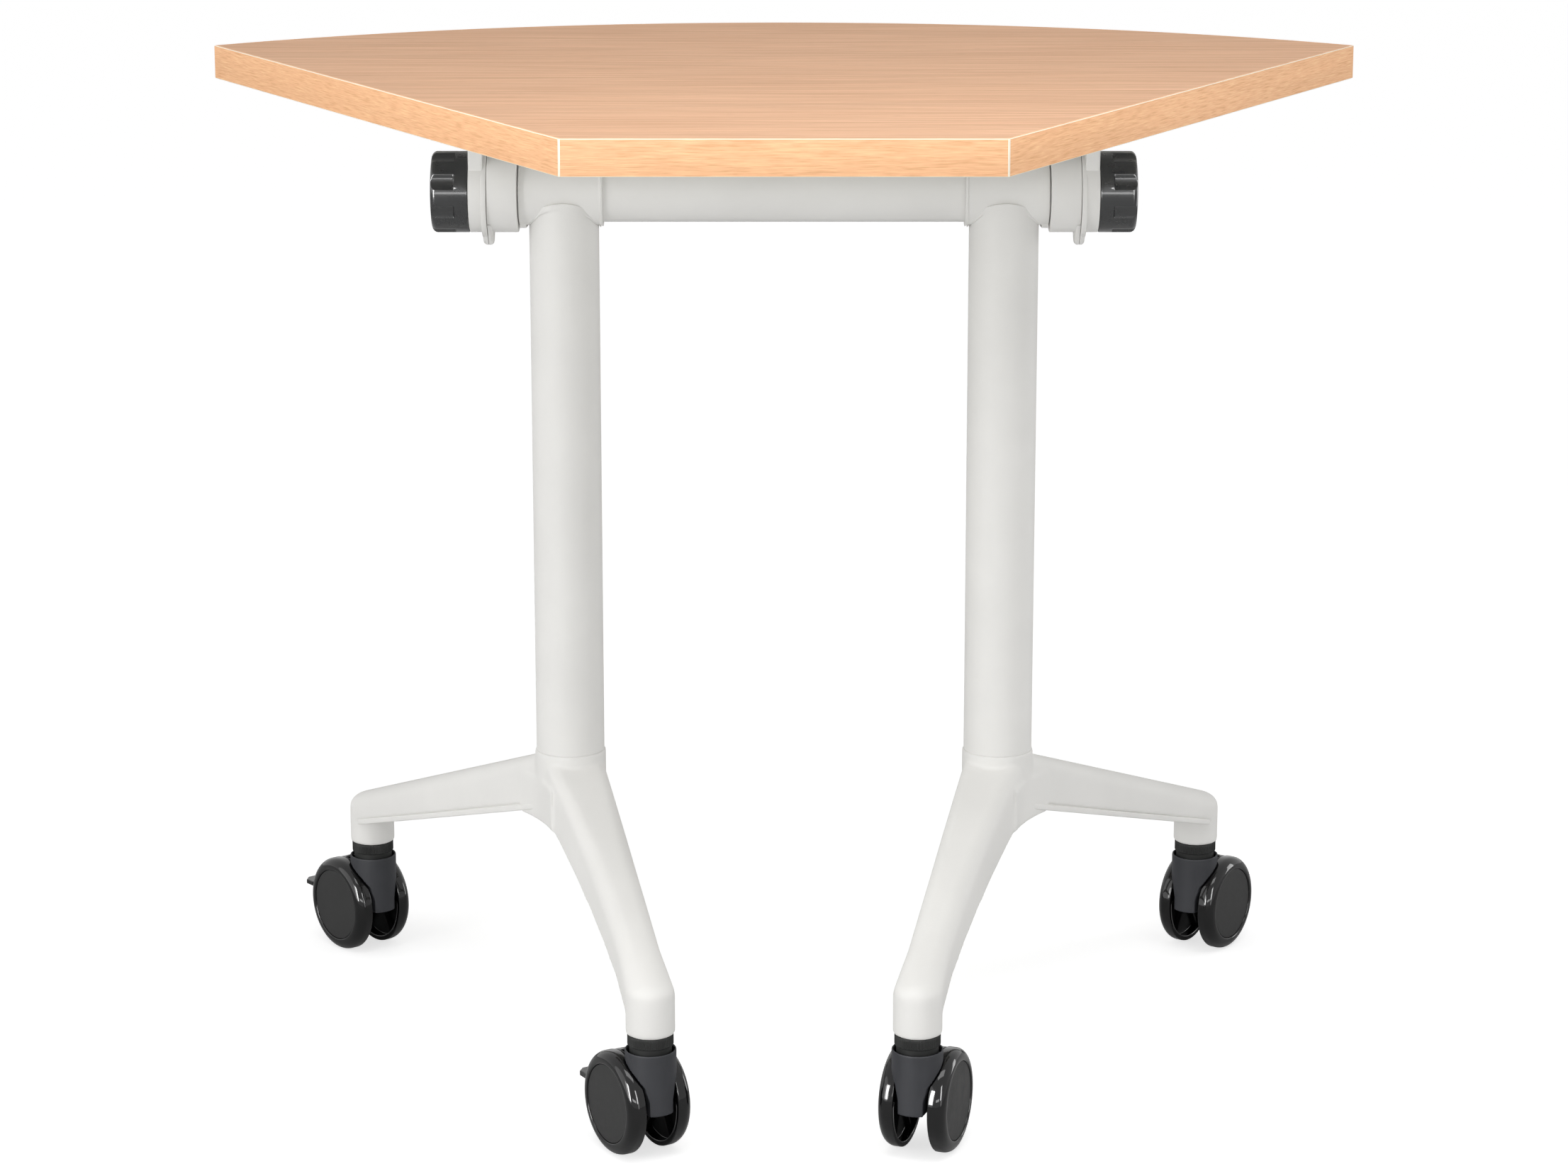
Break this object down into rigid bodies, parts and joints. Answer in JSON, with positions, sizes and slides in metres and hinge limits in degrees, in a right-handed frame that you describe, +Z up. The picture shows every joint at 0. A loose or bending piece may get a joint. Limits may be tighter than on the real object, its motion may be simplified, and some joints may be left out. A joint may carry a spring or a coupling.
{
  "type": "folding corner desk",
  "caption": "Wedge-shaped corner desk with a curved back edge: a board that tilts on a clamped beam, posts, splayed feet and twin-wheel casters.",
  "frame": {"origin": "on the floor, under the middle of the board's bounding box, on the plane of symmetry", "axes": "+X to the right seen from the short near edge, +Y away from the near edge towards the curved back edge, +Z up"},
  "size_m": [0.868, 0.6488, 0.74],
  "materials": {
    "chipboard": "pressed chips, unfinished",
    "beech_laminate": "beech grain laminate, satin",
    "backing_laminate": "plain balancing laminate, matt",
    "beech_edging": "beech grain edge banding, satin",
    "painted_casting": "pale grey powder coat on cast aluminium",
    "painted_tube": "pale grey powder coat on steel tube",
    "bright_steel": "zinc plated",
    "bush_plastic": "moulded",
    "black_gloss_knob": "moulded, glossy",
    "insert_brass": "turned",
    "black_collar": "moulded, satin",
    "caster_housing_grey": "moulded, matt",
    "caster_wheel_black": "moulded, glossy",
    "wheel_cap_grey": "moulded, fine spark texture"
  },
  "bodies": {
    "frame": {"cross_beam": "painted_tube", "tee_casting_left": "painted_casting", "tee_casting_right": "painted_casting", "tee_screws": "bright_steel", "clamp_ring_left": "painted_casting", "clamp_ring_right": "painted_casting", "clamp_studs": "bright_steel", "thrust_washers": "bright_steel", "post_left": "painted_tube", "post_right": "painted_tube", "tie_rods": "bright_steel", "tie_rod_nuts": "bright_steel", "foot_left": "painted_casting", "foot_right": "painted_casting", "caster_stems": "bright_steel", "caster_collars": "black_collar"},
    "top": {"board_core": "chipboard", "top_laminate": "beech_laminate", "underside_laminate": "backing_laminate", "near_edge_band": "beech_edging", "left_edge_band": "beech_edging", "right_edge_band": "beech_edging", "back_edge_band": "beech_edging", "tilt_bracket_left": "painted_casting", "tilt_bracket_right": "painted_casting", "bracket_screws": "bright_steel", "pivot_bushes": "bush_plastic"},
    "knob_left_body": {"knob_left": "black_gloss_knob", "knob_insert_left": "insert_brass"},
    "knob_right_body": {"knob_right": "black_gloss_knob", "knob_insert_right": "insert_brass"},
    "front_left_caster": {"front_left_housing": "caster_housing_grey", "front_left_axle": "bright_steel"},
    "front_left_outer_roller": {"front_left_outer_wheel": "caster_wheel_black", "front_left_outer_cap": "wheel_cap_grey"},
    "front_left_inner_roller": {"front_left_inner_wheel": "caster_wheel_black", "front_left_inner_cap": "wheel_cap_grey"},
    "front_left_brake": {"front_left_brake_lever": "black_collar"},
    "front_right_caster": {"front_right_housing": "caster_housing_grey", "front_right_axle": "bright_steel"},
    "front_right_outer_roller": {"front_right_outer_wheel": "caster_wheel_black", "front_right_outer_cap": "wheel_cap_grey"},
    "front_right_inner_roller": {"front_right_inner_wheel": "caster_wheel_black", "front_right_inner_cap": "wheel_cap_grey"},
    "rear_left_caster": {"rear_left_housing": "caster_housing_grey", "rear_left_axle": "bright_steel"},
    "rear_left_outer_roller": {"rear_left_outer_wheel": "caster_wheel_black", "rear_left_outer_cap": "wheel_cap_grey"},
    "rear_left_inner_roller": {"rear_left_inner_wheel": "caster_wheel_black", "rear_left_inner_cap": "wheel_cap_grey"},
    "rear_left_brake": {"rear_left_brake_lever": "black_collar"},
    "rear_right_caster": {"rear_right_housing": "caster_housing_grey", "rear_right_axle": "bright_steel"},
    "rear_right_outer_roller": {"rear_right_outer_wheel": "caster_wheel_black", "rear_right_outer_cap": "wheel_cap_grey"},
    "rear_right_inner_roller": {"rear_right_inner_wheel": "caster_wheel_black", "rear_right_inner_cap": "wheel_cap_grey"}
  },
  "joints": [
    {"name": "top_tilt", "type": "hinge", "parent": "frame", "child": "top", "pos_m": [0, 0.003, 0.6545], "axis": [1, 0, 0], "range_deg": [0, 90]},
    {"name": "knob_left_turn", "type": "hinge", "parent": "frame", "child": "knob_left_body", "pos_m": [-0.2423, 0.003, 0.6545], "axis": [-1, 0, 0], "range_deg": [0, 180]},
    {"name": "knob_right_turn", "type": "hinge", "parent": "frame", "child": "knob_right_body", "pos_m": [0.2423, 0.003, 0.6545], "axis": [1, 0, 0], "range_deg": [0, 180]},
    {"name": "front_left_swivel", "type": "hinge", "parent": "frame", "child": "front_left_caster", "pos_m": [-0.09412, -0.22674, 0.06], "axis": [0, 0, 1], "continuous": true},
    {"name": "front_left_outer_roll", "type": "hinge", "parent": "front_left_caster", "child": "front_left_outer_roller", "pos_m": [-0.10442, -0.2096, 0.0375], "axis": [-0.8572, -0.515, 0], "continuous": true},
    {"name": "front_left_inner_roll", "type": "hinge", "parent": "front_left_caster", "child": "front_left_inner_roller", "pos_m": [-0.10442, -0.2096, 0.0375], "axis": [-0.8572, -0.515, 0], "continuous": true},
    {"name": "front_left_brake_press", "type": "hinge", "parent": "front_left_caster", "child": "front_left_brake", "pos_m": [-0.11266, -0.19588, 0.046], "axis": [-0.8572, -0.515, 0], "range_deg": [0, 12]},
    {"name": "front_right_swivel", "type": "hinge", "parent": "frame", "child": "front_right_caster", "pos_m": [0.09412, -0.22674, 0.06], "axis": [0, 0, 1], "continuous": true},
    {"name": "front_right_outer_roll", "type": "hinge", "parent": "front_right_caster", "child": "front_right_outer_roller", "pos_m": [0.10096, -0.20795, 0.0375], "axis": [-0.9397, 0.342, 0], "continuous": true},
    {"name": "front_right_inner_roll", "type": "hinge", "parent": "front_right_caster", "child": "front_right_inner_roller", "pos_m": [0.10096, -0.20795, 0.0375], "axis": [-0.9397, 0.342, 0], "continuous": true},
    {"name": "rear_left_swivel", "type": "hinge", "parent": "frame", "child": "rear_left_caster", "pos_m": [-0.33206, 0.22008, 0.06], "axis": [0, 0, 1], "continuous": true},
    {"name": "rear_left_outer_roll", "type": "hinge", "parent": "rear_left_caster", "child": "rear_left_outer_roller", "pos_m": [-0.34464, 0.23563, 0.0375], "axis": [-0.7771, -0.6293, 0], "continuous": true},
    {"name": "rear_left_inner_roll", "type": "hinge", "parent": "rear_left_caster", "child": "rear_left_inner_roller", "pos_m": [-0.34464, 0.23563, 0.0375], "axis": [-0.7771, -0.6293, 0], "continuous": true},
    {"name": "rear_left_brake_press", "type": "hinge", "parent": "rear_left_caster", "child": "rear_left_brake", "pos_m": [-0.35471, 0.24806, 0.046], "axis": [-0.7771, -0.6293, 0], "range_deg": [0, 12]},
    {"name": "rear_right_swivel", "type": "hinge", "parent": "frame", "child": "rear_right_caster", "pos_m": [0.33206, 0.22008, 0.06], "axis": [0, 0, 1], "continuous": true},
    {"name": "rear_right_outer_roll", "type": "hinge", "parent": "rear_right_caster", "child": "rear_right_outer_roller", "pos_m": [0.34324, 0.23666, 0.0375], "axis": [-0.829, 0.5592, 0], "continuous": true},
    {"name": "rear_right_inner_roll", "type": "hinge", "parent": "rear_right_caster", "child": "rear_right_inner_roller", "pos_m": [0.34324, 0.23666, 0.0375], "axis": [-0.829, 0.5592, 0], "continuous": true}
  ]
}
